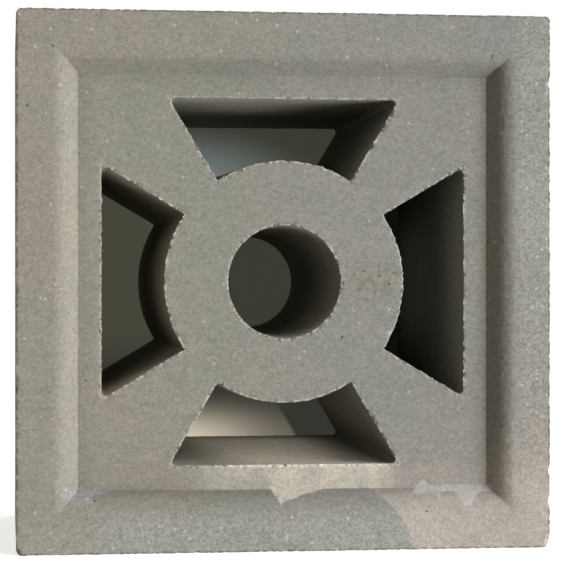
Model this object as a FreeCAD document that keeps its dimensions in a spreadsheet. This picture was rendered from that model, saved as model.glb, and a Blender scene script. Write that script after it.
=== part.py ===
import FreeCAD, Part
import math
import os
import Sketcher

# Decorative concrete screen block, cast in one piece.
# A raised rim with a mitred moulding runs around a recessed panel. In the panel a ring is held by four
# diagonal struts, which leaves a round hole and four openings through the whole depth. Their walls have a
# draft, so they are widest at the panel and the cores of the mould pull out toward the decorated face.
# Millimetres: X along the wall, Y into the wall, Z up. The decorated face looks toward -Y, and the origin
# is the middle of the bed face. The body is drawn around the middle of its back face and then placed.

NODE = "screen_block"
SIDES = 4

# Driving dimensions: alias, value, meaning.
SIZES = (
    ("block_side", 200.0, "width and height of the square block"),
    ("block_depth", 115.0, "depth of the block, from the rim's face to the back"),
    ("frame_width", 22.75, "edge of the block to the foot of the moulding"),
    ("recess_depth", 7.0, "panel below the rim's face"),
    ("moulding_radius", 9.6, "rounding between the rim's face and the moulding's slope"),
    ("moulding_angle", 60.0, "steepness of the moulding's slope, degrees from the panel"),
    ("panel_margin", 8.75, "flat panel between the moulding and an opening"),
    ("hole_radius", 21.2, "round hole in the middle"),
    ("ring_wall", 24.2, "wall of the ring around the hole"),
    ("strut_width_at_ring", 17.8, "narrow end of a strut"),
    ("strut_width_at_frame", 35.4, "wide end of a strut"),
    ("core_draft", 1.0, "taper of the openings and the hole toward the back, in degrees"),
    ("opening_corner_radius", 1.5, "rounding in the two wide corners of an opening"),
    ("block_corner_radius", 1.5, "rounding along the block's four long edges"),
)

# Sizes that several features share.
HALF_SIDE = "sizes.block_side / 2"
PANEL_DEPTH = "sizes.block_depth - sizes.recess_depth"
OPENING_EDGE = "sizes.block_side / 2 - sizes.frame_width - sizes.panel_margin"
RING_RADIUS = "sizes.hole_radius + sizes.ring_wall"

# Ends of a sketch edge, the middle of an arc, and the sketch's own origin and upright axis.
START = 1
END = 2
CENTRE = 3
ROOT = -1
UPRIGHT = -2

# Lengths this small count as zero when faces and edges are looked up.
TOLERANCE = 0.01

# An edge runs along the depth if it leans by less than this share of its length.
LEAN = 0.2


def make_sheet(doc):
    """Spreadsheet with one driving dimension in each row."""
    sheet = doc.addObject("Spreadsheet::Sheet", "sizes")
    for row, (alias, value, meaning) in enumerate(SIZES, start=1):
        sheet.set("A%d" % row, meaning)
        sheet.set("B%d" % row, str(value))
        sheet.setAlias("B%d" % row, alias)
    doc.recompute()
    return sheet


def origin_feature(body, role):
    """Origin plane or axis of the body."""
    for feature in body.Origin.OriginFeatures:
        if feature.Role == role:
            return feature
    raise ValueError("the body has no " + role)


def new_sketch(body, name, plane_role):
    """Empty sketch on one of the body's origin planes."""
    sketch = body.newObject("Sketcher::SketchObject", name)
    sketch.AttachmentSupport = [(origin_feature(body, plane_role), "")]
    sketch.MapMode = "FlatFace"
    return sketch


def make_panel_plane(body):
    """Plane of the recessed panel, where the openings and the hole have their stated sizes."""
    plane = body.newObject("PartDesign::Plane", "panel_plane")
    plane.AttachmentSupport = [(origin_feature(body, "XZ_Plane"), "")]
    plane.MapMode = "FlatFace"
    plane.setExpression("AttachmentOffset.Base.z", PANEL_DEPTH)
    return plane


def add_line(sketch, start, end, construction=False):
    """Straight edge between two sketch points."""
    line = Part.LineSegment(FreeCAD.Vector(*start), FreeCAD.Vector(*end))
    return sketch.addGeometry(line, construction)


def add_arc(sketch, centre, radius, first_angle, last_angle):
    """Arc that runs anticlockwise from the first angle to the last, in degrees."""
    circle = Part.Circle(FreeCAD.Vector(*centre), FreeCAD.Vector(0, 0, 1), radius)
    arc = Part.ArcOfCircle(circle, math.radians(first_angle), math.radians(last_angle))
    return sketch.addGeometry(arc, False)


def constrain(sketch, *parts):
    """Geometric constraint with no size."""
    return sketch.addConstraint(Sketcher.Constraint(*parts))


def dimension(sketch, name, formula, *parts):
    """Named dimension that follows a formula of the sheet's sizes."""
    index = sketch.addConstraint(Sketcher.Constraint(*parts))
    sketch.renameConstraint(index, name)
    sketch.setExpression("Constraints." + name, formula)


def join(sketch, edge, following):
    """Let an edge start where the one before it ends."""
    constrain(sketch, "Coincident", edge, END, following, START)


def draw_square(sketch, side):
    """Square around the sketch's origin, as wide and high as the block."""
    half = side / 2
    corners = [(-half, -half), (half, -half), (half, half), (-half, half)]
    bottom, right, top, left = [
        add_line(sketch, corner, corners[(number + 1) % SIDES]) for number, corner in enumerate(corners)
    ]
    for edge, following in ((bottom, right), (right, top), (top, left), (left, bottom)):
        join(sketch, edge, following)
    constrain(sketch, "Horizontal", bottom)
    constrain(sketch, "Vertical", right)
    constrain(sketch, "Horizontal", top)
    constrain(sketch, "Symmetric", bottom, START, top, START, ROOT, START)
    constrain(sketch, "Equal", bottom, right)
    dimension(sketch, "side", "sizes.block_side", "DistanceX", bottom, START, bottom, END, side)


def draw_rim_section(sketch, sheet):
    """Section of one side of the rim: flat face, convex rounding, straight slope down to the panel."""
    half = sheet.block_side / 2
    front = -sheet.block_depth
    panel = front + sheet.recess_depth
    radius = sheet.moulding_radius
    angle = math.radians(sheet.moulding_angle)
    foot = -half + sheet.frame_width
    slope_top_depth = front + radius * (1 - math.cos(angle))
    slope_top = foot - (panel - slope_top_depth) / math.tan(angle)
    face_end = slope_top - radius * math.sin(angle)

    slope = add_line(sketch, (panel, foot), (slope_top_depth, slope_top))
    rounding = add_arc(sketch, (front + radius, face_end), radius, 180 - sheet.moulding_angle, 180)
    face = add_line(sketch, (front, face_end), (front, -half))
    outside = add_line(sketch, (front, -half), (panel, -half))
    seat = add_line(sketch, (panel, -half), (panel, foot))

    constrain(sketch, "Tangent", slope, END, rounding, START)
    constrain(sketch, "Tangent", rounding, END, face, START)
    join(sketch, face, outside)
    join(sketch, outside, seat)
    join(sketch, seat, slope)
    constrain(sketch, "Vertical", face)
    constrain(sketch, "Horizontal", outside)
    constrain(sketch, "Vertical", seat)
    dimension(sketch, "front", "sizes.block_depth", "DistanceX", face, END, ROOT, START, sheet.block_depth)
    dimension(sketch, "edge", HALF_SIDE, "DistanceY", face, END, ROOT, START, half)
    dimension(sketch, "recess", "sizes.recess_depth", "DistanceX", outside, START, outside, END,
              sheet.recess_depth)
    dimension(sketch, "width", "sizes.frame_width", "DistanceY", seat, START, seat, END, sheet.frame_width)
    dimension(sketch, "rounding", "sizes.moulding_radius", "Radius", rounding, radius)
    dimension(sketch, "steepness", "sizes.moulding_angle * 1 deg", "Angle", slope, START, seat, END, angle)


def draw_opening(sketch, sheet):
    """Upper opening: straight edge beside the frame, a side along each strut, and the ring's outline."""
    edge = sheet.block_side / 2 - sheet.frame_width - sheet.panel_margin
    ring = sheet.hole_radius + sheet.ring_wall
    outer_half = edge - sheet.strut_width_at_frame / math.sqrt(2)
    ring_angle = 45 + math.degrees(math.asin(sheet.strut_width_at_ring / 2 / ring))
    inner_half = ring * math.cos(math.radians(ring_angle))
    inner_height = ring * math.sin(math.radians(ring_angle))

    top = add_line(sketch, (outer_half, edge), (-outer_half, edge))
    left = add_line(sketch, (-outer_half, edge), (-inner_half, inner_height))
    right = add_line(sketch, (inner_half, inner_height), (outer_half, edge))
    outline_of_ring = add_arc(sketch, (0, 0), ring, ring_angle, 180 - ring_angle)
    diagonal = add_line(sketch, (0, 0), (edge, edge), construction=True)

    join(sketch, top, left)
    join(sketch, right, top)
    constrain(sketch, "Coincident", left, END, outline_of_ring, END)
    constrain(sketch, "Coincident", right, START, outline_of_ring, START)
    constrain(sketch, "Coincident", outline_of_ring, CENTRE, ROOT, START)
    constrain(sketch, "Symmetric", top, START, top, END, UPRIGHT)
    constrain(sketch, "Horizontal", right, START, left, END)
    constrain(sketch, "Coincident", diagonal, START, ROOT, START)
    dimension(sketch, "diagonal_across", OPENING_EDGE, "DistanceX", ROOT, START, diagonal, END, edge)
    dimension(sketch, "diagonal_up", OPENING_EDGE, "DistanceY", ROOT, START, diagonal, END, edge)
    dimension(sketch, "edge", OPENING_EDGE, "DistanceY", ROOT, START, top, START, edge)
    dimension(sketch, "ring", RING_RADIUS, "Radius", outline_of_ring, ring)
    dimension(sketch, "strut_at_frame", "sizes.strut_width_at_frame / 2", "Distance", top, START, diagonal,
              sheet.strut_width_at_frame / 2)
    dimension(sketch, "strut_at_ring", "sizes.strut_width_at_ring / 2", "Distance", right, START, diagonal,
              sheet.strut_width_at_ring / 2)


def draw_hole(sketch, sheet):
    """Round hole around the middle of the block."""
    circle = Part.Circle(FreeCAD.Vector(0, 0, 0), FreeCAD.Vector(0, 0, 1), sheet.hole_radius)
    hole = sketch.addGeometry(circle, False)
    constrain(sketch, "Coincident", hole, CENTRE, ROOT, START)
    dimension(sketch, "hole", "sizes.hole_radius", "Radius", hole, sheet.hole_radius)


def pad(body, name, sketch, length, symmetric=False):
    """Sketch raised by a length, to one side or half to each side."""
    feature = body.newObject("PartDesign::Pad", name)
    feature.Profile = sketch
    feature.SideType = "Symmetric" if symmetric else "One side"
    feature.setExpression("Length", length)
    return feature


def cut_through(body, name, sketch):
    """Sketch cut from the back face right through to the front."""
    feature = body.newObject("PartDesign::Pocket", name)
    feature.Profile = sketch
    feature.Type = "ThroughAll"
    feature.Reversed = True
    return feature


def repeat_around(body, name, feature):
    """Feature repeated on all four sides, around the axis of the hole."""
    pattern = body.newObject("PartDesign::PolarPattern", name)
    pattern.Originals = [feature]
    pattern.Axis = (origin_feature(body, "Y_Axis"), [""])
    pattern.Angle = 360
    pattern.Occurrences = SIDES
    body.Tip = pattern
    return pattern


def depth_faces(shape, accept):
    """Names of the faces along the depth whose distance from the middle planes is accepted."""
    names = []
    for number, face in enumerate(shape.Faces, start=1):
        middle = face.CenterOfMass
        u, v = face.Surface.parameter(middle)
        along_depth = abs(face.normalAt(u, v).y) < TOLERANCE
        if along_depth and accept(max(abs(middle.x), abs(middle.z))):
            names.append("Face%d" % number)
    return names


def draft_walls(body, name, base, walls, panel):
    """Taper of the named faces, which keep their outline at the panel and close in toward the back."""
    feature = body.newObject("PartDesign::Draft", name)
    # The feature has to know the solid before it can be told which faces to turn.
    body.Document.recompute()
    feature.Base = (base, walls)
    feature.NeutralPlane = (panel, [""])
    feature.setExpression("Angle", "sizes.core_draft * 1 deg")
    return feature


def depth_edges(shape, accept):
    """Names of the edges along the depth whose distance from the middle planes is accepted."""
    names = []
    for number, edge in enumerate(shape.Edges, start=1):
        first = edge.Vertexes[0].Point
        last = edge.Vertexes[-1].Point
        lean = math.hypot(first.x - last.x, first.z - last.z)
        if lean < LEAN * abs(first.y - last.y) and accept(max(abs(first.x), abs(first.z))):
            names.append("Edge%d" % number)
    return names


def round_edges(body, name, base, edges, radius):
    """Rounding of the named edges of the feature before it."""
    feature = body.newObject("PartDesign::Fillet", name)
    feature.Base = (base, edges)
    feature.setExpression("Radius", radius)
    return feature


def require_smaller(before, after):
    """Stop unless the second solid is smaller than the first, as a cut or a taper leaves them."""
    if after.Shape.Volume > before.Shape.Volume - TOLERANCE:
        raise RuntimeError(after.Name + " is no smaller than " + before.Name)


def make_block(doc, sheet):
    """The whole casting as one body."""
    body = doc.addObject("PartDesign::Body", NODE)
    body.Label = NODE
    panel = make_panel_plane(body)
    half = sheet.block_side / 2
    ring = sheet.hole_radius + sheet.ring_wall

    outline = new_sketch(body, "block_outline", "XZ_Plane")
    draw_square(outline, sheet.block_side)
    slab = pad(body, "slab_behind_panel", outline, PANEL_DEPTH)

    rim_section = new_sketch(body, "rim_section", "YZ_Plane")
    draw_rim_section(rim_section, sheet)
    rim_side = pad(body, "rim_side", rim_section, "sizes.block_side", symmetric=True)
    rim = repeat_around(body, "rim", rim_side)

    opening_outline = new_sketch(body, "opening_outline", "XZ_Plane")
    draw_opening(opening_outline, sheet)
    opening = cut_through(body, "opening", opening_outline)
    openings = repeat_around(body, "openings", opening)
    doc.recompute()
    require_smaller(rim, openings)

    opening_walls = depth_faces(openings.Shape, lambda reach: reach < half - TOLERANCE)
    drafted_openings = draft_walls(body, "drafted_openings", openings, opening_walls, panel)
    doc.recompute()
    require_smaller(drafted_openings, openings)

    wide_corners = depth_edges(drafted_openings.Shape, lambda reach: ring < reach < half - TOLERANCE)
    rounded_openings = round_edges(body, "rounded_openings", drafted_openings, wide_corners,
                                   "sizes.opening_corner_radius")

    hole_outline = new_sketch(body, "hole_outline", "XZ_Plane")
    draw_hole(hole_outline, sheet)
    hole = cut_through(body, "hole", hole_outline)
    doc.recompute()
    require_smaller(rounded_openings, hole)

    hole_wall = depth_faces(hole.Shape, lambda reach: reach < sheet.hole_radius)
    drafted_hole = draft_walls(body, "drafted_hole", hole, hole_wall, panel)
    doc.recompute()
    require_smaller(drafted_hole, hole)

    outer_corners = depth_edges(drafted_hole.Shape, lambda reach: reach > half - TOLERANCE)
    finished = round_edges(body, "rounded_block", drafted_hole, outer_corners, "sizes.block_corner_radius")
    body.Tip = finished

    body.setExpression("Placement.Base.y", "sizes.block_depth / 2")
    body.setExpression("Placement.Base.z", HALF_SIDE)
    doc.recompute()
    return body


def check(doc, body):
    """Stop if any object failed or the casting isn't one sound solid."""
    for item in doc.Objects:
        if "Invalid" in item.State or "Error" in item.State:
            raise RuntimeError(item.Name + " failed: " + ", ".join(item.State))
    if body.Shape.isNull() or not body.Shape.isValid():
        raise RuntimeError("the casting has no sound shape")
    if len(body.Shape.Solids) != 1:
        raise RuntimeError("the casting isn't one solid")


def main():
    doc = FreeCAD.newDocument("screen_block")
    sheet = make_sheet(doc)
    block = make_block(doc, sheet)
    check(doc, block)
    os.makedirs("parts", exist_ok=True)
    block.Shape.exportStep("parts/" + block.Label + ".step")
    box = block.Shape.BoundBox
    print("size %.2f x %.2f x %.2f" % (box.XLength, box.YLength, box.ZLength))
    print("volume %.0f" % block.Shape.Volume)


main()
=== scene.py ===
import math
from collections import namedtuple

import bpy
import numpy as np
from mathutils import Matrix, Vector


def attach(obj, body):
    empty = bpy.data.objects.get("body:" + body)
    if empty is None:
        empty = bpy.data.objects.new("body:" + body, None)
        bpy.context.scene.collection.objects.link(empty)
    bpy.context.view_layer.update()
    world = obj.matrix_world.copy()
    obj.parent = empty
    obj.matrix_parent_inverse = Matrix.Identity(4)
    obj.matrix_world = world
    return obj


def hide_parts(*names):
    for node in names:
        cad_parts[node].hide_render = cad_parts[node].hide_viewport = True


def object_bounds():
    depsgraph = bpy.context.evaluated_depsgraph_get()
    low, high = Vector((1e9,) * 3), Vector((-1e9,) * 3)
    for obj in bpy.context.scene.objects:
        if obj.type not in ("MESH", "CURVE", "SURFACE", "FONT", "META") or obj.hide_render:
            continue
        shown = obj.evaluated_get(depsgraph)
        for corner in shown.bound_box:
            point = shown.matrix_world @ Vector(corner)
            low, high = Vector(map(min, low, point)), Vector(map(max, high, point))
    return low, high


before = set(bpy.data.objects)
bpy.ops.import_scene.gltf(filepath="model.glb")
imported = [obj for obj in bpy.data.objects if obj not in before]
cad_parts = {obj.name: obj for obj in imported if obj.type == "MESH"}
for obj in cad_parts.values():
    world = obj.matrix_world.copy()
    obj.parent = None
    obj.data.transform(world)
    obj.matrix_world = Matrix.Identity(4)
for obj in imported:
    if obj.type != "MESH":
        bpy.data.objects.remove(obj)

# Cast concrete screen block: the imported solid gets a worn, sandy skin, and stands in a pale studio.
# The frame is in metres: X to the right along the decorated face, Y into the block, Z up.
# Sizes and places are written in millimetres here, from the middle of the bed face.

NODE = "screen_block"
MM = 0.001

cad_low, cad_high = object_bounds()
FRONT = cad_low.y / MM
BACK = cad_high.y / MM
SIDE = (cad_high.x - cad_low.x) / MM
HALF = SIDE / 2
RECESS = 7.0
PANEL = FRONT + RECESS

# Worn moulding between rim and panel: a straight slope at the foot, and a rounding above it.
MOULDING_FOOT = 22.75
SLOPE = math.radians(50)
ROUNDING = 7.8
ROUND_WIDTH = ROUNDING * math.sin(SLOPE)
ROUND_DEPTH = ROUNDING * (1 - math.cos(SLOPE))
SLOPE_WIDTH = (RECESS - ROUND_DEPTH) / math.tan(SLOPE)
RIM_FLAT = MOULDING_FOOT - SLOPE_WIDTH - ROUND_WIDTH

# Front outline of the openings: the hole, the ring, the outer sides, and the struts between them.
HOLE_RADIUS = 21.2
RING_RADIUS = 45.4
OPENING_REACH = 68.5
STRUT_AT_RING = 17.8
STRUT_AT_FRAME = 35.4
RING_CORNER_ANGLE = math.radians(45) + math.asin(STRUT_AT_RING / 2 / RING_RADIUS)
RING_CORNER = (RING_RADIUS * math.cos(RING_CORNER_ANGLE), RING_RADIUS * math.sin(RING_CORNER_ANGLE))
FRAME_CORNER = (OPENING_REACH - STRUT_AT_FRAME / math.sqrt(2), OPENING_REACH)

# Skin: a fine even mesh to work on, the number of triangles that is kept, and the turn from which an edge
# is shaded as sharp.
VOXEL = 0.5
TRIANGLES_KEPT = 195000
SHARP_FROM = math.radians(32)

# Colours, linear.
WHITE = (1.0, 1.0, 1.0, 1.0)
GREENISH = (0.277, 0.273, 0.226, 1.0)
PINKISH = (0.306, 0.279, 0.228, 1.0)
COOLER = (0.985, 1.0, 1.075, 1.0)
WASHED = (0.350, 0.346, 0.308, 1.0)
WASHED_PINK = (0.358, 0.327, 0.278, 1.0)
BROWN_SHADE = (0.200, 0.150, 0.080, 1.0)
BEIGE = (0.495, 0.437, 0.378, 1.0)
PINK_STRIP = (0.385, 0.350, 0.298, 1.0)
CREAM = (0.595, 0.545, 0.460, 1.0)
BLUISH = (0.345, 0.350, 0.345, 1.0)
LILAC = (0.535, 0.505, 0.470, 1.0)
OCHRE = (0.262, 0.245, 0.180, 1.0)
WHITE_GRAIN = (0.600, 0.590, 0.550, 1.0)
DARK_PIT_AND_EDGE_SHADE = (0.085, 0.080, 0.066, 1.0)


# Noise on points

# Large numbers that mix the three cell numbers and the seed into one scattered number.
MIX_X = 73856093
MIX_Y = 19349663
MIX_Z = 83492791
MIX_SEED = 2654435761
MIX_AGAIN = 1274126177
LOW_BITS = 0xFFFF


def scatter(cells, seed):
    """Repeatable number from 0 to 1 for each whole-numbered cell."""
    mixed = (cells[:, 0] * MIX_X) ^ (cells[:, 1] * MIX_Y) ^ (cells[:, 2] * MIX_Z) ^ (seed * MIX_SEED)
    mixed = (mixed ^ (mixed >> 13)) * MIX_AGAIN
    mixed = mixed ^ (mixed >> 16)
    return (mixed & LOW_BITS) / LOW_BITS


def waves(points, size, seed):
    """Smooth noise from 0 to 1 whose lumps are about as large as size."""
    scaled = points / size
    cells = np.floor(scaled).astype(np.int64)
    inside = scaled - cells
    inside = inside * inside * (3.0 - 2.0 * inside)
    total = np.zeros(len(points))
    for corner in np.ndindex(2, 2, 2):
        weight = np.ones(len(points))
        for axis, step in enumerate(corner):
            weight *= inside[:, axis] if step else 1.0 - inside[:, axis]
        total += weight * scatter(cells + np.array(corner), seed)
    return total


# Skin

def mesh_array(collection, name, width, kind=np.float32):
    """Values of one property of all vertices or edges as rows."""
    values = np.empty(len(collection) * width, kind)
    collection.foreach_get(name, values)
    return values.reshape(-1, width)


def neighbours_mean(points, edges, rounds):
    """Points moved to the middle of their neighbours, several times."""
    first = edges[:, 0]
    second = edges[:, 1]
    count = np.bincount(edges.ravel(), minlength=len(points))
    for _ in range(rounds):
        total = np.empty_like(points)
        for axis in range(3):
            total[:, axis] = np.bincount(first, weights=points[second, axis], minlength=len(points))
            total[:, axis] += np.bincount(second, weights=points[first, axis], minlength=len(points))
        points = total / count[:, None]
    return points


def moulded(points):
    """Points of the face with the moulding's slope and rounding, and its foot drawn to a clean line."""
    from_middle = points - np.array((0.0, 0.0, HALF))
    upright_side = np.abs(from_middle[:, 0]) > np.abs(from_middle[:, 2])
    reach = np.maximum(np.abs(from_middle[:, 0]), np.abs(from_middle[:, 2]))
    on_face = points[:, 1] < PANEL + VOXEL
    at_foot = on_face & (np.abs(HALF - reach - MOULDING_FOOT) < VOXEL / 2)
    for axis, side in ((0, upright_side), (2, ~upright_side)):
        drawn = at_foot & side
        from_middle[drawn, axis] = np.sign(from_middle[drawn, axis]) * (HALF - MOULDING_FOOT)
    reach[at_foot] = HALF - MOULDING_FOOT

    inset = HALF - reach - RIM_FLAT
    rounded = np.clip(inset, 0.0, ROUND_WIDTH)
    depth = ROUNDING - np.sqrt(ROUNDING ** 2 - rounded ** 2)
    depth += np.clip(inset - ROUND_WIDTH, 0.0, SLOPE_WIDTH) * math.tan(SLOPE)
    changed = on_face & (inset > -VOXEL) & (inset < ROUND_WIDTH + SLOPE_WIDTH + 2 * VOXEL)
    from_middle[changed, 1] = FRONT + depth[changed]
    return from_middle + np.array((0.0, 0.0, HALF))


# Chips: x and z on the face, how far in front of the rim the ball's middle lies, and its radius.
CHIPS = (
    (HALF + 1.2, 175.0, 0.6, 2.6),
    (HALF + 1.5, 28.5, 0.8, 3.0),
    (HALF + 1.4, 17.0, 0.5, 2.8),
    (HALF + 1.2, 1.0, 0.8, 4.0),
    (HALF + 1.0, 112.0, 1.2, 2.0),
    (HALF + 1.3, 141.0, 0.9, 2.2),
    (-HALF - 1.0, 61.0, 1.0, 2.2),
    (-HALF - 0.8, 1.2, 1.0, 2.6),
    (-34.0, -0.9, 0.8, 1.9),
    (61.0, SIDE + 0.9, 0.8, 1.9),
    (21.6, 99.4, -RECESS + 0.6, 1.2),
    (21.9, 97.6, -RECESS + 0.8, 1.0),
)

# The wall of a chip has lumps of this size. Its radius varies from the smallest share by the swing.
CHIP_LUMPS = 1.6
CHIP_SMALLEST = 0.75
CHIP_SWING = 0.5
CHIP_SEED = 30


def bite(points, centre, radius, seed):
    """Hollow of a chip: what lies in a lumpy ball is pushed out to its wall."""
    centre = np.array(centre)
    largest = radius * (CHIP_SMALLEST + CHIP_SWING)
    near = np.flatnonzero(np.linalg.norm(points - centre, axis=1) < largest)
    offset = points[near] - centre
    distance = np.linalg.norm(offset, axis=1)
    reach = radius * (CHIP_SMALLEST + CHIP_SWING * waves(points[near], CHIP_LUMPS, seed))
    hit = distance < reach
    points[near[hit]] = centre + offset[hit] * (reach[hit] / distance[hit])[:, None]


# Wear of the arrises. A full arris stands this far out of its wide surroundings, which are found in so many
# rounds of smoothing.
ARRIS_HEIGHT = 0.44
WIDE_ROUNDS = 11

# Noise of the wear: size of the lumps, and seed.
FINE_CRUMBLE = (2.6, 11)
WIDE_CRUMBLE = (12.0, 12)
DEEP_STRETCHES = (8.0, 13)
DEEP_LUMPS = (1.8, 14)
FINE_RAGS = (1.2, 15)
ROLLING = (30.0, 16)
WIDE_RAGS = (3.4, 17)

# Shares and heights of the wear.
SOFTENED_EVERYWHERE = 0.1
SOFTENED_BY_CRUMBLE = 0.7
DEEP_GAIN = 2.6
DEEP_OFFSET = 1.4
RAG_LEVEL = 0.42
FINE_RAG_DEPTH = 1.25
WIDE_RAG_DEPTH = 0.3
ROLLING_HEIGHT = 0.16


def worn(points, normals, edges):
    """Points of the skin with crumbled arrises and chips, and how much each is part of an arris."""
    points = moulded(points)
    near = neighbours_mean(points, edges, 1)
    wide = neighbours_mean(near, edges, WIDE_ROUNDS)
    ridge = np.einsum("ij,ij->i", points - wide, normals)
    arris = np.clip(ridge / ARRIS_HEIGHT, 0.0, 1.0)

    crumble = waves(points, *FINE_CRUMBLE) * waves(points, *WIDE_CRUMBLE)
    softening = np.where(ridge > 0.0, SOFTENED_EVERYWHERE + SOFTENED_BY_CRUMBLE * crumble, 0.0)
    points = points + (near - points) * softening[:, None]

    stretches = np.clip(waves(points, *DEEP_STRETCHES) * DEEP_GAIN - DEEP_OFFSET, 0.0, 1.0)
    deep = stretches * waves(points, *DEEP_LUMPS)
    points = points + (wide - points) * (deep * arris)[:, None]

    ragged = (waves(points, *FINE_RAGS) - RAG_LEVEL) * FINE_RAG_DEPTH
    ragged += (waves(points, *WIDE_RAGS) - RAG_LEVEL) * WIDE_RAG_DEPTH
    rolling = (waves(points, *ROLLING) - 0.5) * ROLLING_HEIGHT
    points = points + normals * (rolling - ragged * arris)[:, None]

    for number, (x, z, before_rim, radius) in enumerate(CHIPS):
        bite(points, (x, FRONT - before_rim, z), radius, CHIP_SEED + number)
    low = np.array(cad_low) / MM
    high = np.array(cad_high) / MM
    return np.clip(points, low, high), arris


def modified(mesh, kind, **settings):
    """Mesh after one modifier."""
    holder = bpy.data.objects.new("holder", mesh)
    bpy.context.scene.collection.objects.link(holder)
    modifier = holder.modifiers.new(kind, kind)
    for name, value in settings.items():
        setattr(modifier, name, value)
    evaluated = holder.evaluated_get(bpy.context.evaluated_depsgraph_get())
    result = bpy.data.meshes.new_from_object(evaluated)
    bpy.data.objects.remove(holder)
    bpy.data.meshes.remove(mesh)
    return result


def make_skin(material):
    """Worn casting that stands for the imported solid."""
    mesh = modified(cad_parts[NODE].data.copy(), "REMESH", mode="VOXEL", voxel_size=VOXEL * MM)
    points = mesh_array(mesh.vertices, "co", 3).astype(float) / MM
    normals = mesh_array(mesh.vertex_normals, "vector", 3).astype(float)
    edges = mesh_array(mesh.edges, "vertices", 2, np.int32)
    points, arris = worn(points, normals, edges)
    mesh.vertices.foreach_set("co", (points * MM).astype(np.float32).ravel())
    mesh.attributes.new("arris", "FLOAT", "POINT").data.foreach_set("value", arris.astype(np.float32))
    mesh.update()

    triangles = sum(len(face.vertices) - 2 for face in mesh.polygons)
    mesh = modified(mesh, "DECIMATE", ratio=min(1.0, TRIANGLES_KEPT / triangles))
    mesh.shade_smooth()
    mesh.set_sharp_from_angle(angle=SHARP_FROM)
    mesh = modified(mesh, "WEIGHTED_NORMAL", mode="FACE_AREA", weight=50, keep_sharp=True)
    mesh.name = "cast_skin"
    mesh.materials.clear()
    mesh.materials.append(material)
    piece = bpy.data.objects.new("cast_skin", mesh)
    bpy.context.scene.collection.objects.link(piece)
    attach(piece, "root")
    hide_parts(NODE)


# Shader nodes

# Numbers of the colour sockets on a mix node.
FIRST_COLOUR = 6
SECOND_COLOUR = 7
MIXED_COLOUR = 2


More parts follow.
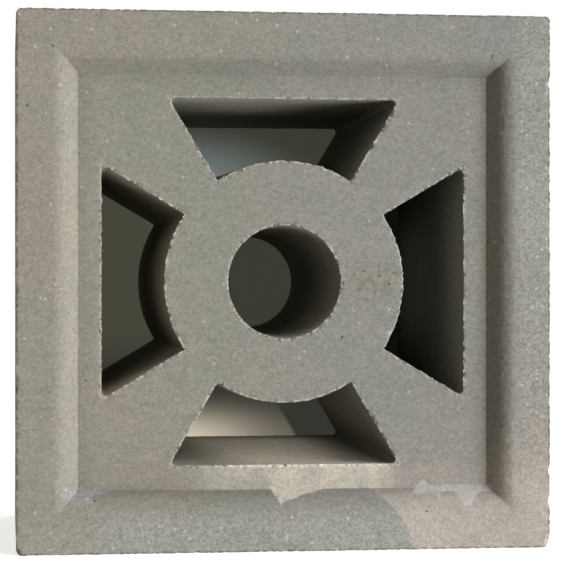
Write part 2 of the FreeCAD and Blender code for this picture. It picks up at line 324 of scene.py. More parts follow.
class Graph:
    """Short ways to add nodes to a material or world."""

    def __init__(self, owner):
        owner.use_nodes = True
        self.tree = owner.node_tree

    def add(self, kind, **settings):
        """New node with some of its settings."""
        node = self.tree.nodes.new(kind)
        for name, value in settings.items():
            setattr(node, name, value)
        return node

    def feed(self, socket, value):
        """Link a socket into another, or set a plain value."""
        if isinstance(value, bpy.types.NodeSocket):
            self.tree.links.new(value, socket)
        else:
            socket.default_value = value

    def maths(self, operation, *values):
        """Result of a sum on numbers."""
        node = self.add("ShaderNodeMath", operation=operation)
        for socket, value in zip(node.inputs, values):
            self.feed(socket, value)
        return node.outputs[0]

    def chained(self, operation, values):
        """Several numbers taken together, one after another."""
        result = values[0]
        for value in values[1:]:
            result = self.maths(operation, result, value)
        return result

    def product(self, *values):
        """Numbers multiplied."""
        return self.chained("MULTIPLY", values)

    def total(self, *values):
        """Numbers added."""
        return self.chained("ADD", values)

    def largest(self, *values):
        """Largest of several numbers."""
        return self.chained("MAXIMUM", values)

    def difference(self, first, second):
        """First number less the second."""
        return self.maths("SUBTRACT", first, second)

    def size_of(self, value):
        """Number without its sign."""
        return self.maths("ABSOLUTE", value)

    def vectors(self, operation, *values):
        """Result of a sum on vectors: the vector, or the number for dot products and lengths."""
        node = self.add("ShaderNodeVectorMath", operation=operation)
        for socket, value in zip(node.inputs, values):
            self.feed(socket, value)
        return node.outputs["Value" if operation in ("DOT_PRODUCT", "LENGTH") else "Vector"]

    def scaled(self, vector, factor):
        """Vector or colour times a number."""
        node = self.add("ShaderNodeVectorMath", operation="SCALE")
        self.feed(node.inputs[0], vector)
        self.feed(node.inputs["Scale"], factor)
        return node.outputs["Vector"]

    def moved(self, position, step):
        """Place moved by a step."""
        return self.vectors("ADD", position, step)

    def parts(self, vector):
        """The three parts of a vector."""
        node = self.add("ShaderNodeSeparateXYZ")
        self.feed(node.inputs[0], vector)
        return node.outputs[0], node.outputs[1], node.outputs[2]

    def fade(self, value, start, end, low=0.0, high=1.0):
        """Smooth step from low at start to high at end."""
        node = self.add("ShaderNodeMapRange", interpolation_type="SMOOTHSTEP")
        for socket, number in zip(node.inputs, (value, start, end, low, high)):
            self.feed(socket, number)
        return node.outputs[0]

    def between(self, value, first, second):
        """Mask of what lies inside two soft limits."""
        return self.product(self.fade(value, *first), self.fade(value, *second))

    def noise(self, position, size, detail=3.0, roughness=0.6, colour=False):
        """Noise whose lumps are about as large as size."""
        node = self.add("ShaderNodeTexNoise")
        self.feed(node.inputs["Vector"], position)
        self.feed(node.inputs["Scale"], 1.0 / size)
        self.feed(node.inputs["Detail"], detail)
        self.feed(node.inputs["Roughness"], roughness)
        return node.outputs["Color" if colour else "Fac"]

    def cells(self, position, size):
        """Grains: distance from the nearest middle, in cells, and a random number for each."""
        node = self.add("ShaderNodeTexVoronoi")
        self.feed(node.inputs["Vector"], position)
        self.feed(node.inputs["Scale"], 1.0 / size)
        chance = self.add("ShaderNodeSeparateColor")
        self.feed(chance.inputs[0], node.outputs["Color"])
        return node.outputs["Distance"], chance.outputs[0]

    def mix(self, factor, first, second):
        """Two colours mixed."""
        node = self.add("ShaderNodeMix", data_type="RGBA")
        self.feed(node.inputs["Factor"], factor)
        self.feed(node.inputs[FIRST_COLOUR], first)
        self.feed(node.inputs[SECOND_COLOUR], second)
        return node.outputs[MIXED_COLOUR]

    def painted(self, colour, paint, *masks):
        """Colour with a paint over it, as strong as the masks multiplied."""
        return self.mix(self.product(*masks), colour, paint)

    def brightened(self, colour, share):
        """Colour made brighter by a share, or darker where the share is below 0."""
        return self.scaled(colour, self.total(share, 1.0))

    def wobbled(self, position, size, amount):
        """Place moved about by noise, for uneven outlines."""
        step = self.vectors("SUBTRACT", self.noise(position, size, colour=True), (0.5, 0.5, 0.5))
        return self.vectors("ADD", position, self.scaled(step, amount * 2.0))

    def blot(self, place, centre, half, softness):
        """Mask of an oval on the face: its middle and half sizes as x and z."""
        offset = self.vectors("SUBTRACT", place, (centre[0], 0.0, centre[1]))
        offset = self.vectors("MULTIPLY", offset, (1.0 / half[0], 0.0, 1.0 / half[1]))
        return self.fade(self.vectors("LENGTH", offset), 1.0 + softness, 1.0 - softness)

    def drip(self, x, z, tip, left_slope, right_slope, softness):
        """Mask of what lies above a V with its tip at x and z, whose sides rise by the slopes."""
        across = self.difference(x, tip[0])
        sides = self.largest(self.product(across, -left_slope), self.product(across, right_slope))
        above = self.difference(self.difference(z, tip[1]), sides)
        return self.fade(above, -softness, softness)


# Concrete

# A soft limit is written as the values where it starts and ends. The results there are 0 and 1, unless two
# more numbers give them.

# Levels of the face: the rim, the panel and all before it, the panel and all behind it, and what carries the
# marks.
ON_RIM = (FRONT + 3.0, FRONT + 0.8)
BEFORE_PANEL = (PANEL + 0.6, PANEL + 0.1)
ON_PANEL = (PANEL - 0.6, PANEL - 0.2)
ON_DECORATED = (PANEL + 1.5, PANEL + 0.5)

# Halves of the face.
RIGHT_HALF = (0.0, HALF / 2)
LOWER_HALF = (HALF, HALF / 2)
UPPER_HALF = (HALF, HALF * 1.5)

# Clouds of the ground: sizes of their noise, and the limits of the tints.
CLOUD_SIZE = 34.0
MOTTLE_SIZE = 5.0
MOTTLE_SHARE = 0.4
WARM_LEVELS = (0.36, 0.74)
WARMER_LEFT = (-40.0, -92.0, 0.0, 0.22)
COOLER_RIGHT = (-30.0, 30.0)
PATCH_SIZE = 6.0
PATCH_SHADES = (0.25, 0.75, 0.97, 1.03)


def clouded(graph, position, x):
    """Grey with pinkish and greenish clouds, warmer to the left, and the noise of its small patches."""
    mottles = graph.difference(graph.noise(position, MOTTLE_SIZE, detail=2.0), 0.5)
    warmth = graph.total(graph.noise(position, CLOUD_SIZE), graph.fade(x, *WARMER_LEFT),
                         graph.product(mottles, MOTTLE_SHARE))
    colour = graph.mix(graph.fade(warmth, *WARM_LEVELS), GREENISH, PINKISH)
    tint = graph.mix(graph.fade(x, *COOLER_RIGHT), WHITE, COOLER)
    colour = graph.vectors("MULTIPLY", colour, tint)
    patches = graph.noise(position, PATCH_SIZE, detail=4.0)
    return graph.scaled(colour, graph.fade(patches, *PATCH_SHADES)), patches


# Washed stretches of the rim: the lower side, weaker at its left end, and the right side, pinkish below.
WASHED_LOWER = (19.0, 9.0, 0.0, 0.95)
WASHED_LOWER_ALONG = (-88.0, -45.0, 0.35, 1.0)
WASHED_RIGHT = (HALF - 16.0, HALF - 9.0, 0.0, 0.95)
WASH_SIZE = 22.0
WASH_LEVELS = (0.3, 0.62, 0.45, 1.0)
PINKISH_BELOW = (105.0, 45.0)
PINKISH_RIGHT = (40.0, 70.0)


def washed_pale(graph, colour, position, x, y, z):
    """Colour with the rim washed pale on the right and below, and the mask of that."""
    lower = graph.product(graph.fade(z, *WASHED_LOWER), graph.fade(x, *WASHED_LOWER_ALONG))
    right = graph.fade(x, *WASHED_RIGHT)
    washed = graph.product(graph.largest(lower, right), graph.fade(y, *ON_RIM))
    uneven = graph.fade(graph.noise(position, WASH_SIZE), *WASH_LEVELS)
    pinkish = graph.product(graph.fade(z, *PINKISH_BELOW), graph.fade(x, *PINKISH_RIGHT))
    paint = graph.mix(pinkish, WASHED, WASHED_PINK)
    return graph.painted(colour, paint, washed, uneven), washed


# Painted shade in the recess: brown on the right slope, which faces away from the light, grey on the lower
# slope toward its foot and on the upper slope, and a faint grey strip along the left foot. Along the right
# foot the panel is painted a little paler, a painted light against the shade that the moulding casts there.
FACES_UP = (0.45, 0.7)
FACES_DOWN_OR_LEFT = (-0.45, -0.7)
FACES_FRONT = (-0.6, -0.85)
BROWN_BY_HEIGHT = (20.0, 50.0, 0.05, 0.22)
TOWARD_FOOT = (FRONT + 1.5, PANEL)
LOWER_GREY_ALONG = (30.0, -12.0, 0.13, 0.25)
UPPER_GREY = 0.09
LEFT_FOOT = MOULDING_FOOT - HALF
LEFT_STRIP_INNER = (LEFT_FOOT + 9.0, LEFT_FOOT)
LEFT_STRIP_OUTER = (LEFT_FOOT - 0.6, LEFT_FOOT)
LEFT_STRIP_GREY = 0.13
RIGHT_STRIP = (60.0, 74.0)
RIGHT_STRIP_PALER = 0.10


def painted_recess_shade(graph, colour, x, y, z):
    """Colour with painted shade on the moulding's slopes and along the panel's left foot, and painted light
    along its right foot.
    """
    toward_x, toward_y, toward_z = graph.parts(graph.add("ShaderNodeNewGeometry").outputs["Normal"])
    before_panel = graph.fade(y, *BEFORE_PANEL)
    right_slope = graph.product(before_panel, graph.fade(toward_x, *FACES_DOWN_OR_LEFT),
                                graph.fade(x, *RIGHT_HALF))
    lower_slope = graph.product(before_panel, graph.fade(toward_z, *FACES_UP), graph.fade(z, *LOWER_HALF))
    upper_slope = graph.product(before_panel, graph.fade(toward_z, *FACES_DOWN_OR_LEFT),
                                graph.fade(z, *UPPER_HALF))
    # Brown painted shade on the right slope, which faces away from the light, stronger higher up.
    colour = graph.painted(colour, BROWN_SHADE, right_slope, graph.fade(z, *BROWN_BY_HEIGHT))

    # Painted shade: grey on the lower slope, growing toward its foot, and on the upper slope, which faces
    # down.
    lower_grey = graph.product(lower_slope, graph.fade(y, *TOWARD_FOOT), graph.fade(x, *LOWER_GREY_ALONG))
    upper_grey = graph.product(upper_slope, UPPER_GREY)
    on_panel = graph.product(graph.fade(y, *ON_PANEL), graph.fade(toward_y, *FACES_FRONT))
    # Painted shade in the crease along the left foot.
    left_strip = graph.between(x, LEFT_STRIP_INNER, LEFT_STRIP_OUTER)
    left_grey = graph.product(left_strip, on_panel, LEFT_STRIP_GREY)
    # Painted light along the right foot, lifting the shade that the moulding casts there.
    paler = graph.product(graph.fade(x, *RIGHT_STRIP), on_panel, RIGHT_STRIP_PALER)
    darker = graph.difference(graph.total(lower_grey, upper_grey, left_grey), paler)
    return graph.scaled(colour, graph.difference(1.0, darker))


# What the marks are drawn from: a place whose x and z wobble a little while its depth y is the true one, the
# mask of the decorated face, and the streaks that thin the marks.
Face = namedtuple("Face", ("place", "x", "y", "z", "decorated", "streaks"))

# Beige lower right corner: right of a curved border, fading up the right rim, and weaker on the panel.
BORDER_AT_BED = 46.7
BORDER_BEND = 0.029
BORDER_EDGE = (-1.0, 1.6)
CORNER_BY_HEIGHT = (58.0, 8.0)
CORNER_BY_DEPTH = (PANEL - 0.8, FRONT + 2.0, 0.22, 0.95)


def beige_corner(graph, face):
    """Mask of the beige corner."""
    bend = graph.product(face.z, face.z, BORDER_BEND)
    beyond_border = graph.total(graph.difference(face.x, BORDER_AT_BED), bend)
    return graph.product(graph.fade(beyond_border, *BORDER_EDGE), graph.fade(face.z, *CORNER_BY_HEIGHT),
                         face.decorated, graph.fade(face.y, *CORNER_BY_DEPTH), face.streaks)


# Cream patch on the strip under the lower opening, weaker to the left and with a pink strip to its right.
CREAM_TOP = (34.0, 31.0)
CREAM_WEAK_LEFT = (-46.0, -14.0, 0.0, 0.68)
CREAM_STRONG_LEFT = (-7.5, -3.5, 0.0, 0.32)
CREAM_RIGHT = (46.0, 33.0)
CREAM_STRENGTH = 0.92
PINK_TOP = (36.0, 25.0)
PINK_LEFT = (34.0, 40.0)
PINK_STRENGTH = 0.85

# The cream patch's tongue hangs down the moulding, steep on the left and drawn out to the right.
TONGUE_TIP = (-1.8, 16.7)
TONGUE_LEFT_SLOPE = -1.65
TONGUE_RIGHT_RISE = 1.33
TONGUE_EDGE = (-0.35, 0.35)
TONGUE_TOP = (25.0, 23.5)
TONGUE_RIGHT = (36.0, 22.0)

# The cream also reaches into the lower opening, over the wall under it, fading deeper in.
WALL_TOP = (35.0, 34.2)
WALL_BOTTOM = (29.8, 30.6)
WALL_FRONT = (PANEL - 0.4, PANEL + 0.2)
WALL_LEFT = (-30.0, -6.0)
WALL_RIGHT = (42.0, 34.0)
WALL_BY_DEPTH = (BACK - 1.5, PANEL, 0.0, 0.75)


def tongue(graph, face):
    """Mask of the cream patch's tongue."""
    across = graph.difference(face.x, TONGUE_TIP[0])
    left_side = graph.product(across, TONGUE_LEFT_SLOPE)
    right_side = graph.product(graph.maths("SQRT", graph.largest(across, 0.0)), TONGUE_RIGHT_RISE)
    above_tip = graph.difference(face.z, TONGUE_TIP[1])
    above_sides = graph.difference(above_tip, graph.largest(left_side, right_side))
    return graph.product(graph.fade(above_sides, *TONGUE_EDGE), graph.fade(face.z, *TONGUE_TOP),
                         graph.fade(face.x, *TONGUE_RIGHT))


def cream_patched(graph, colour, face):
    """Colour with the pink strip, the cream patch and its tongue."""
    panel = graph.fade(face.y, *ON_PANEL)
    pink = graph.product(panel, face.decorated, graph.fade(face.z, *PINK_TOP),
                         graph.fade(face.x, *PINK_LEFT))
    colour = graph.painted(colour, PINK_STRIP, pink, PINK_STRENGTH)

    left = graph.total(graph.fade(face.x, *CREAM_WEAK_LEFT), graph.fade(face.x, *CREAM_STRONG_LEFT))
    strip = graph.product(panel, graph.fade(face.z, *CREAM_TOP), left, graph.fade(face.x, *CREAM_RIGHT),
                          face.streaks)
    cream_patch = graph.largest(strip, tongue(graph, face))
    return graph.painted(colour, CREAM, cream_patch, face.decorated, CREAM_STRENGTH)


def cream_on_wall(graph, colour, face):
    """Colour with the cream on the wall of the lower opening."""
    wall = graph.product(graph.between(face.z, WALL_TOP, WALL_BOTTOM), graph.fade(face.y, *WALL_FRONT))
    reach = graph.product(graph.between(face.x, WALL_LEFT, WALL_RIGHT), graph.fade(face.y, *WALL_BY_DEPTH))
    return graph.painted(colour, CREAM, wall, reach, face.streaks)


# Smears along the moulding's foot. On the right a run has a spur and two drips. A drip is given by its tip,
# the slopes of its left and right side, and its softness.
SMEAR_TOP = (MOULDING_FOOT + 0.9, MOULDING_FOOT + 0.1)
RUN_BOTTOM = (20.4, 21.2)
RUN_LEFT = (48.5, 51.0)
RUN_RIGHT = (80.0, 77.5)
SPUR_TIP = (53.0, 25.6)
SPUR_SLOPE = 1.1
SPUR_EDGE = (-0.4, 0.4)
SPUR_BOTTOM = (19.5, 21.0)
SMALL_DRIP = ((57.9, 18.3), 2.4, 2.4, 0.35)
LARGE_DRIP = ((68.3, 15.4), 1.45, 1.0, 0.35)
LARGE_DRIP_RIGHT = (76.5, 75.0)
RIGHT_SMEAR_STRENGTH = 0.9

# On the left a blob has a tail. The blob is given by its middle, its half sizes and its softness.
BLOB = ((-76.6, 20.6), (4.4, 3.2), 0.25)
TAIL_BOTTOM = (20.6, 21.6)
TAIL_LEFT = (-79.5, -78.5)
TAIL_RIGHT = (-64.0, -70.0)
LEFT_SMEAR_STRENGTH = 0.85


def left_smear(graph, face, under_foot):
    """Mask of the blob and its tail."""
    blob = graph.blot(face.place, *BLOB)
    tail = graph.product(under_foot, graph.fade(face.z, *TAIL_BOTTOM),
                         graph.between(face.x, TAIL_LEFT, TAIL_RIGHT))
    return graph.largest(blob, tail)


def right_smear(graph, face, under_foot):
    """Mask of the run with its spur and drips."""
    run = graph.product(under_foot, graph.fade(face.z, *RUN_BOTTOM),
                        graph.between(face.x, RUN_LEFT, RUN_RIGHT))
    beside_spur = graph.size_of(graph.difference(face.x, SPUR_TIP[0]))
    under_spur = graph.difference(SPUR_TIP[1], graph.total(face.z, graph.product(beside_spur, SPUR_SLOPE)))
    spur = graph.product(graph.fade(under_spur, *SPUR_EDGE), graph.fade(face.z, *SPUR_BOTTOM))
    small_drip = graph.product(graph.drip(face.x, face.z, *SMALL_DRIP), under_foot)
    large_drip = graph.product(graph.drip(face.x, face.z, *LARGE_DRIP), under_foot,
                               graph.fade(face.x, *LARGE_DRIP_RIGHT))
    return graph.largest(run, spur, small_drip, large_drip)


def smeared(graph, colour, face):
    """Colour with the smears along the moulding's foot."""
    under_foot = graph.fade(face.z, *SMEAR_TOP)
    on_left = graph.product(left_smear(graph, face, under_foot), face.decorated, face.streaks)
    colour = graph.painted(colour, BLUISH, on_left, LEFT_SMEAR_STRENGTH)
    on_right = graph.product(right_smear(graph, face, under_foot), face.decorated, face.streaks)
    return graph.painted(colour, LILAC, on_right, RIGHT_SMEAR_STRENGTH)


# Wobble of the marks' outlines: size of the noise, and how far it moves them.
STAIN_WOBBLE = (5.0, 0.9)
STREAK_SIZE = 9.0
STREAK_LEVELS = (0.3, 0.62, 0.6, 1.0)


def marked(graph, colour, position, y, decorated):
    """Colour with the beige corner, the pink strip, the cream patch and the smears of the decorated face, and
    the mask of the beige corner.
    """
    place = graph.wobbled(position, *STAIN_WOBBLE)
    x, _, z = graph.parts(place)
    streaks = graph.fade(graph.noise(position, STREAK_SIZE, detail=4.0, roughness=0.65), *STREAK_LEVELS)
    face = Face(place, x, y, z, decorated, streaks)
    corner = beige_corner(graph, face)
    colour = graph.mix(corner, colour, BEIGE)
    colour = cream_patched(graph, colour, face)
    colour = smeared(graph, colour, face)
    return cream_on_wall(graph, colour, face), corner


# Sand grains: their sizes, how far their shades swing, and how deep the gaps between them are. The swing is
# larger on washed places and smaller on the beige corner.
FINE_GRAIN = 0.7
COARSE_GRAIN = 1.9
COARSE_STEP = (11.0, 23.0, 5.0)
FINE_SWING = 0.29
COARSE_SWING = 0.09
SWING_WASHED = (0.0, 1.0, 1.0, 1.45)
SWING_CORNER = (0.0, 1.0, 1.0, 0.65)
FINE_GAP = 0.35
COARSE_GAP = 0.3


def sandy(graph, colour, position, washed, corner):
    """Colour with sand grains, and how deep the gaps between them are."""
    fine_distance, fine_shade = graph.cells(position, FINE_GRAIN)
    coarse_distance, coarse_shade = graph.cells(graph.moved(position, COARSE_STEP), COARSE_GRAIN)
    shade = graph.total(graph.product(fine_shade, FINE_SWING), graph.product(coarse_shade, COARSE_SWING))
    swing = graph.product(graph.fade(washed, *SWING_WASHED), graph.fade(corner, *SWING_CORNER))
    step = graph.product(graph.difference(shade, (FINE_SWING + COARSE_SWING) / 2), swing)
    gaps = graph.total(graph.product(fine_distance, FINE_GAP), graph.product(coarse_distance, COARSE_GAP))
    return graph.brightened(colour, step), gaps


# White specks and dark pits: size of their cells, and their outlines in cells. A cell has one if its random
# number is above a limit, which is lower for specks on washed places and for pits on arrises.
SPOT_WOBBLE = (1.4, 0.35)
SPECK_CELL = 1.9
SPECK_EDGE = (0.42, 0.16)
SPECK_LIMIT = (0.0, 1.0, 0.982, 0.87)
SPECK_STRENGTH = (0.0, 1.0, 0.5, 0.62)
PIT_CELL = 3.1
PIT_STEP = (31.0, 17.0, 53.0)
PIT_EDGE = (0.24, 0.08)
PIT_LIMIT = (0.05, 0.4, 0.988, 0.9)
PIT_STRENGTH = 0.7


def spotted(graph, colour, position, washed, arris):
    """Colour with white specks and dark pits, and the mask of the pits."""
    place = graph.wobbled(position, *SPOT_WOBBLE)
    speck_distance, speck_chance = graph.cells(place, SPECK_CELL)
    has_speck = graph.maths("GREATER_THAN", speck_chance, graph.fade(washed, *SPECK_LIMIT))
    speck = graph.product(graph.fade(speck_distance, *SPECK_EDGE), has_speck)
    colour = graph.painted(colour, WHITE_GRAIN, speck, graph.fade(washed, *SPECK_STRENGTH))

    pit_distance, pit_chance = graph.cells(graph.moved(place, PIT_STEP), PIT_CELL)
    has_pit = graph.maths("GREATER_THAN", pit_chance, graph.fade(arris, *PIT_LIMIT))
    pit = graph.product(graph.fade(pit_distance, *PIT_EDGE), has_pit)
    return graph.painted(colour, DARK_PIT_AND_EDGE_SHADE, pit, PIT_STRENGTH), pit


# Crumbly ochre patch beside the hole, with lumps, dark gaps and a few pale grains. It is given by its middle,
# half sizes and softness. Gaps and grains have outlines in cells, and limits of the cells' random numbers.
OCHRE_BLOT = ((34.5, 100.0), (8.5, 6.5), 0.45)
OCHRE_WOBBLE = (4.0, 2.2)
OCHRE_STRENGTH = 0.5
LUMP_WOBBLE = (2.4, 1.4)
LUMP_CELL = 2.1
LUMP_STEP = (7.0, 3.0, 5.0)
LUMP_SWING = 0.34
CRUMB_CELL = 1.9
CRUMB_STEP = (17.0, 9.0, 2.0)
GAP_EDGE = (0.55, 0.2)
GAP_LIMIT = (0.74, 0.80)
GAP_STRENGTH = 0.7
PALE_EDGE = (0.5, 0.2)
PALE_LIMIT = (0.16, 0.10)
PALE_STRENGTH = 0.35


def ochre_patch(graph, colour, position, decorated):
    """Colour with the crumbly patch beside the hole."""
    patch = graph.product(graph.blot(graph.wobbled(position, *OCHRE_WOBBLE), *OCHRE_BLOT), decorated)
    colour = graph.painted(colour, OCHRE, patch, OCHRE_STRENGTH)
    place = graph.wobbled(position, *LUMP_WOBBLE)
    _, lump_shade = graph.cells(graph.moved(place, LUMP_STEP), LUMP_CELL)
    colour = graph.brightened(colour, graph.product(graph.difference(lump_shade, 0.5), patch, LUMP_SWING))

    distance, chance = graph.cells(graph.moved(place, CRUMB_STEP), CRUMB_CELL)
    gap = graph.product(graph.fade(distance, *GAP_EDGE), graph.fade(chance, *GAP_LIMIT), patch)
    colour = graph.painted(colour, DARK_PIT_AND_EDGE_SHADE, gap, GAP_STRENGTH)
    pale = graph.product(graph.fade(distance, *PALE_EDGE), graph.fade(chance, *PALE_LIMIT), patch)
    return graph.painted(colour, WHITE_GRAIN, pale, PALE_STRENGTH)


def beside_openings(graph, x, z):
    """Distance of a place on the panel from the nearest edge of an opening."""
    across = graph.size_of(x)
    along = graph.size_of(graph.difference(z, HALF))
    far = graph.largest(across, along)
    near = graph.maths("MINIMUM", across, along)
    radius = graph.maths("SQRT", graph.total(graph.product(across, across), graph.product(along, along)))

    # Each opening lies inside the outer side and the strut, and outside the ring.
    run = FRAME_CORNER[0] - RING_CORNER[0]
    rise = FRAME_CORNER[1] - RING_CORNER[1]
    length = math.hypot(run, rise)
    sideways = graph.product(graph.difference(near, RING_CORNER[0]), rise / length)
    outward = graph.product(graph.difference(far, RING_CORNER[1]), run / length)
    from_strut = graph.difference(sideways, outward)
    from_side = graph.difference(far, OPENING_REACH)
    from_ring = graph.difference(RING_RADIUS, radius)
    opening = graph.largest(from_strut, from_side, from_ring)
    return graph.maths("MINIMUM", opening, graph.difference(radius, HOLE_RADIUS))


# Arrises rubbed paler in places, least on the outer edges, which have a thin broken line of painted shade
# instead.
BREAK_SIZE = 2.2
RUBBED_ARRIS = (0.3, 0.7)
RUBBED_BREAKS = (0.42, 0.58)
RUBBED_BY_REACH = (HALF - 6.0, HALF - 3.0, 0.32, 0.06)
EDGE_SHADE_BY_REACH = (HALF - 1.0, HALF - 0.35)
EDGE_SHADE_BY_DEPTH = (FRONT + 1.6, FRONT + 0.9)
EDGE_SHADE_BREAKS = (0.62, 0.45)
EDGE_SHADE_STRENGTH = 0.6

# Edges of the openings: a pale broken line, partly painted highlight where the arrises catch the light and
# partly rubbed wear, and dark gaps of lost crumbs, more of them on some stretches.
EDGE_LEVEL = (PANEL + 1.4, PANEL + 0.9)
PALE_LINE_WIDTH = (1.1, 0.4)
PALE_LINE_BREAKS = (0.22, 0.52)
PALE_LINE_SHARE = 0.26
LOST_CRUMB_SIZE = 1.2
LOST_CRUMB_STEP = (5.0, 41.0, 19.0)
LOST_CRUMB_WIDTH = (2.0, 0.5)
LOST_CRUMB_LIMIT = 0.80
LOST_CRUMB_EDGE = (0.0, 0.05)
LOST_CRUMB_STRENGTH = 0.75
STRETCH_SIZE = 14.0
STRETCH_LEVELS = (0.42, 0.58, 0.19, 0.27)


def crumbled_openings(graph, colour, position, x, y, z, broken):
    """Colour with a pale line, partly painted highlight and partly wear, and lost crumbs along the edges of
    the openings.
    """
    from_opening = beside_openings(graph, x, z)
    level = graph.fade(y, *EDGE_LEVEL)
    # Pale line: partly painted highlight, partly rubbed wear.
    highlight_and_wear = graph.product(graph.fade(from_opening, *PALE_LINE_WIDTH), level,
                              graph.fade(broken, *PALE_LINE_BREAKS))
    colour = graph.brightened(colour, graph.product(highlight_and_wear, PALE_LINE_SHARE))

    crumbs = graph.noise(graph.moved(position, LOST_CRUMB_STEP), LOST_CRUMB_SIZE, detail=2.0)
    close = graph.product(graph.fade(from_opening, *LOST_CRUMB_WIDTH), level)
    stretches = graph.noise(position, STRETCH_SIZE, detail=2.0, roughness=0.5)
    limit = graph.difference(LOST_CRUMB_LIMIT, graph.product(close, graph.fade(stretches, *STRETCH_LEVELS)))
    lost = graph.product(close, graph.fade(graph.difference(crumbs, limit), *LOST_CRUMB_EDGE))
    return graph.painted(colour, DARK_PIT_AND_EDGE_SHADE, lost, LOST_CRUMB_STRENGTH)


def edged(graph, colour, position, arris, x, y, z):
    """Colour with rubbed arrises, crumbled edges of the openings, and a broken line of painted shade along
    the outer front edges.
    """
    broken = graph.noise(position, BREAK_SIZE)
    reach = graph.largest(graph.size_of(x), graph.size_of(graph.difference(z, HALF)))
    rubbed = graph.product(graph.fade(arris, *RUBBED_ARRIS), graph.fade(broken, *RUBBED_BREAKS),
                           graph.fade(reach, *RUBBED_BY_REACH))
    colour = graph.brightened(colour, rubbed)
    colour = crumbled_openings(graph, colour, position, x, y, z, broken)
    # Painted shade: a dark broken line on the outer front arrises.
    edge_shade = graph.product(graph.fade(reach, *EDGE_SHADE_BY_REACH), graph.fade(y, *EDGE_SHADE_BY_DEPTH),
                         graph.fade(broken, *EDGE_SHADE_BREAKS))
    return graph.painted(colour, DARK_PIT_AND_EDGE_SHADE, edge_shade, EDGE_SHADE_STRENGTH)


# Surface: depth of the gaps and pits, fine grit over all, and a matt finish that varies by patches.
GAP_DEPTH = 0.26
GRIT_SIZE = 0.5
GRIT_HEIGHT = 0.10
BUMP_STRENGTH = 0.7
ROUGHNESS_BY_PATCH = (0.2, 0.8, 0.88, 0.98)
SPECULAR_LEVEL = 0.15


def concrete():
    """Matt sandy concrete: mottled grey, grains, specks and pits, pale patches and smears, worn arrises,
    painted shade in the recess and on the outer front edges, and a pale line on the openings' edges that is
    partly painted highlight.
    """
    material = bpy.data.materials.new("concrete")
    graph = Graph(material)
    shader = graph.tree.nodes["Principled BSDF"]
    position = graph.scaled(graph.add("ShaderNodeTexCoord").outputs["Object"], 1.0 / MM)
    x, y, z = graph.parts(position)
    arris = graph.add("ShaderNodeAttribute", attribute_name="arris").outputs["Fac"]
    decorated = graph.fade(y, *ON_DECORATED)

    # Tints, marks and the painted shade of the recess come before the grain, so that the sand shows through
    # them.
    colour, patches = clouded(graph, position, x)
    colour, washed = washed_pale(graph, colour, position, x, y, z)
    colour = painted_recess_shade(graph, colour, x, y, z)
    colour, corner = marked(graph, colour, position, y, decorated)
    colour, gaps = sandy(graph, colour, position, washed, corner)
    colour, pits = spotted(graph, colour, position, washed, arris)
    colour = ochre_patch(graph, colour, position, decorated)
    colour = edged(graph, colour, position, arris, x, y, z)
    graph.feed(shader.inputs["Base Color"], colour)

    hollows = graph.product(graph.total(gaps, pits), -GAP_DEPTH)
    grit = graph.product(graph.noise(position, GRIT_SIZE, detail=2.0), GRIT_HEIGHT)
    bump = graph.add("ShaderNodeBump")
    graph.feed(bump.inputs["Strength"], BUMP_STRENGTH)
    graph.feed(bump.inputs["Distance"], MM)
    graph.feed(bump.inputs["Height"], graph.total(hollows, grit))
    graph.feed(shader.inputs["Normal"], bump.outputs[0])
    graph.feed(shader.inputs["Roughness"], graph.fade(patches, *ROUGHNESS_BY_PATCH))
    shader.inputs["Specular IOR Level"].default_value = SPECULAR_LEVEL
    return material


# Studio

def stage_plane(name, corners, material):
    """Flat rectangle of the set, with its corners in millimetres."""
    mesh = bpy.data.meshes.new(name)
    mesh.from_pydata([Vector(corner) * MM for corner in corners], [], [(0, 1, 2, 3)])
    mesh.materials.append(material)
    plane = bpy.data.objects.new(name, mesh)
    bpy.context.scene.collection.objects.link(plane)


def glowing_matt(graph, matt_colour, glow_colour, glow_strength):
    """Matt surface with a glow added to it."""
    matt = graph.add("ShaderNodeBsdfDiffuse")
    graph.feed(matt.inputs["Color"], matt_colour)
    glow = graph.add("ShaderNodeEmission")
    graph.feed(glow.inputs["Color"], glow_colour)
    graph.feed(glow.inputs["Strength"], glow_strength)
    both = graph.add("ShaderNodeAddShader")
    graph.feed(both.inputs[0], matt.outputs[0])
    graph.feed(both.inputs[1], glow.outputs[0])
    return both.outputs[0]


def solid_where(graph, factor, surface):
    """Output of a material that is clear where the factor is 0."""
    clear = graph.add("ShaderNodeBsdfTransparent")
    mix = graph.add("ShaderNodeMixShader")
    graph.feed(mix.inputs[0], factor)
    graph.feed(mix.inputs[1], clear.outputs[0])
    graph.feed(mix.inputs[2], surface)
    output = graph.add("ShaderNodeOutputMaterial")
    graph.feed(output.inputs["Surface"], mix.outputs[0])


FLOOR_COLOUR = (0.80, 0.80, 0.79, 1.0)
FLOOR_GLOW = 0.5


def floor_material():
    """Pale matt floor with the block's shadow. Only the camera meets it, so light also comes from below."""
    material = bpy.data.materials.new("floor")
    graph = Graph(material)
    graph.tree.nodes.clear()
    path = graph.add("ShaderNodeLightPath")
    solid_where(graph, path.outputs["Is Camera Ray"], glowing_matt(graph, FLOOR_COLOUR, WHITE, FLOOR_GLOW))
    material.cycles.emission_sampling = "NONE"
    return material


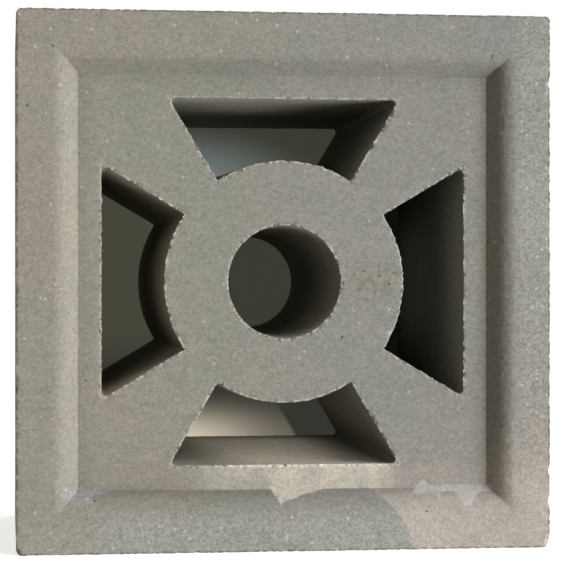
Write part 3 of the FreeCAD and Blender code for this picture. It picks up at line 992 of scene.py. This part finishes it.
# Card behind the openings: its own colour, the glow of its middle, and the glow of places that differ, each
# with the limits of the place. The glow is painted shade and painted light: dim shade in the middle, a little
# lighter to the left and darker below, deep shade to the right, a cool lit place up on the left and a warm
# pool of light low down. The cool place is given by its middle, half sizes and softness.
CARD_COLOUR = (0.02, 0.02, 0.016, 1.0)
CARD_PAINTED_SHADE = (0.043, 0.044, 0.032, 1.0)
LEFT_PAINTED_SHADE = (0.060, 0.060, 0.042, 1.0)
LEFT_PLACE = (-20.0, -45.0)
LOWER_PAINTED_SHADE = (0.036, 0.036, 0.030, 1.0)
LOWER_PLACE = (80.0, 55.0)
RIGHT_PAINTED_SHADE = (0.004, 0.004, 0.003, 1.0)
RIGHT_PLACE = (40.0, 43.0)
COOL_PAINTED_LIGHT = (0.165, 0.196, 0.189, 1.0)
COOL_BLOT = ((-26.0, 143.0), (32.0, 14.0), 0.95)
COOL_LEFT = (-46.0, -38.0)
WARM_PAINTED_LIGHT = (0.620, 0.560, 0.430, 1.0)
WARM_SLANT = 0.585
WARM_RIGHT = (42.6, 40.0)
WARM_TOP = (58.0, 32.0)
WARM_ALONG = (28.0, -30.0, 0.37, 1.0)


def backing_material():
    """Card that closes the openings at the back, there only for what comes from the front, with a glow of
    painted shade and light.
    """
    material = bpy.data.materials.new("backing")
    graph = Graph(material)
    graph.tree.nodes.clear()
    position = graph.scaled(graph.add("ShaderNodeTexCoord").outputs["Object"], 1.0 / MM)
    x, _, z = graph.parts(position)
    glow = graph.mix(graph.fade(x, *LEFT_PLACE), CARD_PAINTED_SHADE, LEFT_PAINTED_SHADE)
    glow = graph.mix(graph.fade(z, *LOWER_PLACE), glow, LOWER_PAINTED_SHADE)
    glow = graph.mix(graph.fade(x, *RIGHT_PLACE), glow, RIGHT_PAINTED_SHADE)
    glow = graph.painted(glow, COOL_PAINTED_LIGHT, graph.blot(position, *COOL_BLOT), graph.fade(x, *COOL_LEFT))
    slanted = graph.total(x, graph.product(z, WARM_SLANT))
    warm = graph.product(graph.fade(slanted, *WARM_RIGHT), graph.fade(z, *WARM_TOP),
                         graph.fade(x, *WARM_ALONG))
    # Warm pool of painted light low down on the card.
    glow = graph.painted(glow, WARM_PAINTED_LIGHT, warm, warm)
    front = graph.difference(1.0, graph.add("ShaderNodeNewGeometry").outputs["Backfacing"])
    solid_where(graph, front, glowing_matt(graph, CARD_COLOUR, glow, 1.0))
    return material


FLOOR_REACH = 6000.0
CARD_DEPTH = 1.5
CARD_INSET = 4.0


def make_stage():
    """Floor, and a card just inside the back face that shows painted shade and light at the end of the
    openings.
    """
    reach = FLOOR_REACH
    floor = [(-reach, -reach, 0), (reach, -reach, 0), (reach, reach, 0), (-reach, reach, 0)]
    stage_plane("floor", floor, floor_material())
    side = HALF - CARD_INSET
    low = CARD_INSET
    high = SIDE - CARD_INSET
    y = BACK - CARD_DEPTH
    card = [(-side, y, low), (side, y, low), (side, y, high), (-side, y, high)]
    stage_plane("backing", card, backing_material())


# World light: a bright upright band to the right of the face, a dim warm rest, and more behind the block.
KEY_TURN = math.radians(51)
KEY_INNER = math.cos(math.radians(6))
KEY_OUTER = math.cos(math.radians(35))
KEY = (3.35, 3.43, 3.60, 1.0)
FILL = (0.215, 0.195, 0.150, 1.0)
REAR = (1.20, 1.20, 1.18, 1.0)
REAR_EDGE = (0.0, 0.35)


def make_world():
    """Soft light by direction, seen as white by the camera."""
    world = bpy.data.worlds.new("studio")
    bpy.context.scene.world = world
    graph = Graph(world)
    background = graph.tree.nodes["Background"]
    direction = graph.add("ShaderNodeTexCoord").outputs["Generated"]
    level = graph.vectors("NORMALIZE", graph.vectors("MULTIPLY", direction, (1.0, 1.0, 0.0)))
    toward_key = (math.sin(KEY_TURN), -math.cos(KEY_TURN), 0.0)
    band = graph.fade(graph.vectors("DOT_PRODUCT", level, toward_key), KEY_OUTER, KEY_INNER)
    behind = graph.fade(graph.vectors("DOT_PRODUCT", direction, (0.0, 1.0, 0.0)), *REAR_EDGE)
    light = graph.mix(band, graph.mix(behind, FILL, REAR), KEY)
    path = graph.add("ShaderNodeLightPath")
    graph.feed(background.inputs["Color"], graph.mix(path.outputs["Is Camera Ray"], light, WHITE))
    background.inputs["Strength"].default_value = 1.0


# Faint lights in three openings: place of the middle, turn about Y, size across the opening and into the
# block, and power in watts.
OPENING_LIGHTS = {
    "lower_light": ((-2.0, 4.0, 52.0), 0.0, (50.0, 84.0), 0.0054),
    "upper_light": ((-16.0, -26.0, 149.0), math.pi, (40.0, 40.0), 0.00075),
    "right_light": ((48.0, 26.0, 100.0), -math.pi / 2, (44.0, 52.0), 0.00026),
}
OPENING_LIGHT_SPREAD = math.radians(105)
OPENING_LIGHT_COLOUR = (1.0, 0.96, 0.90)


def make_opening_lights():
    """Faint light on the outer walls of the lower, the upper and the right opening."""
    for name, (place, turn, size, power) in OPENING_LIGHTS.items():
        data = bpy.data.lights.new(name, "AREA")
        data.shape = "RECTANGLE"
        data.size = size[0] * MM
        data.size_y = size[1] * MM
        data.energy = power
        data.color = OPENING_LIGHT_COLOUR
        data.spread = OPENING_LIGHT_SPREAD
        lamp = bpy.data.objects.new(name, data)
        lamp.location = Vector(place) * MM
        lamp.rotation_euler = (0.0, turn, 0.0)
        lamp.visible_camera = False
        bpy.context.scene.collection.objects.link(lamp)


# Camera, placed from the block's face and middle.
CAMERA_DISTANCE = 655.0
CAMERA_LEFT = 102.9
CAMERA_ABOVE_MIDDLE = -0.65
CAMERA_TURN = math.radians(6.26)
SENSOR_WIDTH = 36.0
LENS = 113.5
SHIFT_SIDEWAYS = 0.14


def make_camera():
    """Camera in front of the block's left edge, turned part of the way toward its middle."""
    data = bpy.data.cameras.new("camera")
    data.sensor_width = SENSOR_WIDTH
    data.lens = LENS
    data.shift_x = SHIFT_SIDEWAYS
    camera = bpy.data.objects.new("camera", data)
    camera.location = Vector((-CAMERA_LEFT, FRONT - CAMERA_DISTANCE, HALF + CAMERA_ABOVE_MIDDLE)) * MM
    camera.rotation_euler = (math.pi / 2, 0.0, -CAMERA_TURN)
    bpy.context.scene.collection.objects.link(camera)
    bpy.context.scene.camera = camera


bpy.context.scene.view_settings.view_transform = "Standard"
make_skin(concrete())
make_stage()
make_world()
make_opening_lights()
make_camera()
